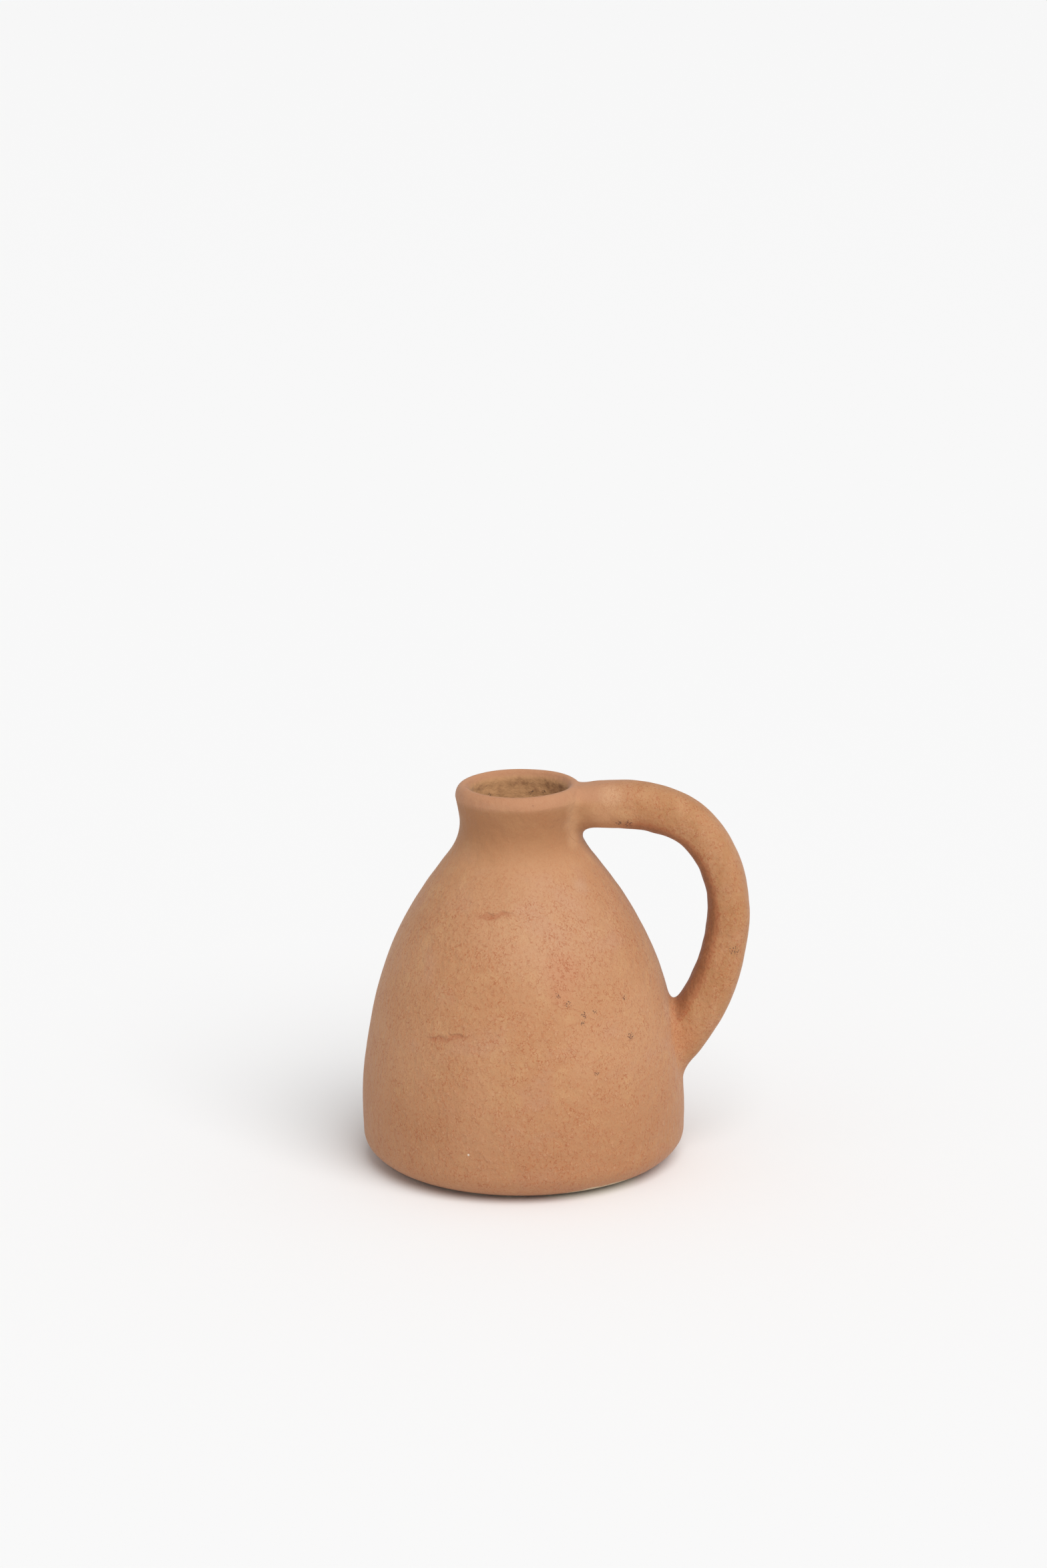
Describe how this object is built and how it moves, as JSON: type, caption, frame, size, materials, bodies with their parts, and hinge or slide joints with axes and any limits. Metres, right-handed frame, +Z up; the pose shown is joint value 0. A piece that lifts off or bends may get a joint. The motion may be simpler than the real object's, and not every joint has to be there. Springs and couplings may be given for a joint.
{
  "type": "ceramic pitcher",
  "caption": "Hand-built terracotta pitcher with an egg-shaped body, short flared neck, rounded lip and one thick loop handle.",
  "frame": {"origin": "centre of the flat foot, on the surface the pitcher stands on", "axes": "+Z up along the axis of the body, +X from the body towards the handle, +Y to the back"},
  "size_m": [0.1817, 0.1512, 0.1811],
  "materials": {
    "washed_terracotta": "matt, mottled iron wash over fired clay",
    "bare_clay": "matt, unglazed"
  },
  "bodies": {
    "root": {"floor_slab": "washed_terracotta", "floor_seam_coil": "bare_clay", "body_wall": "washed_terracotta", "neck_collar": "washed_terracotta", "rim_coil": "washed_terracotta", "handle": "washed_terracotta", "upper_handle_fillet": "washed_terracotta", "lower_handle_fillet": "washed_terracotta"}
  },
  "joints": []
}
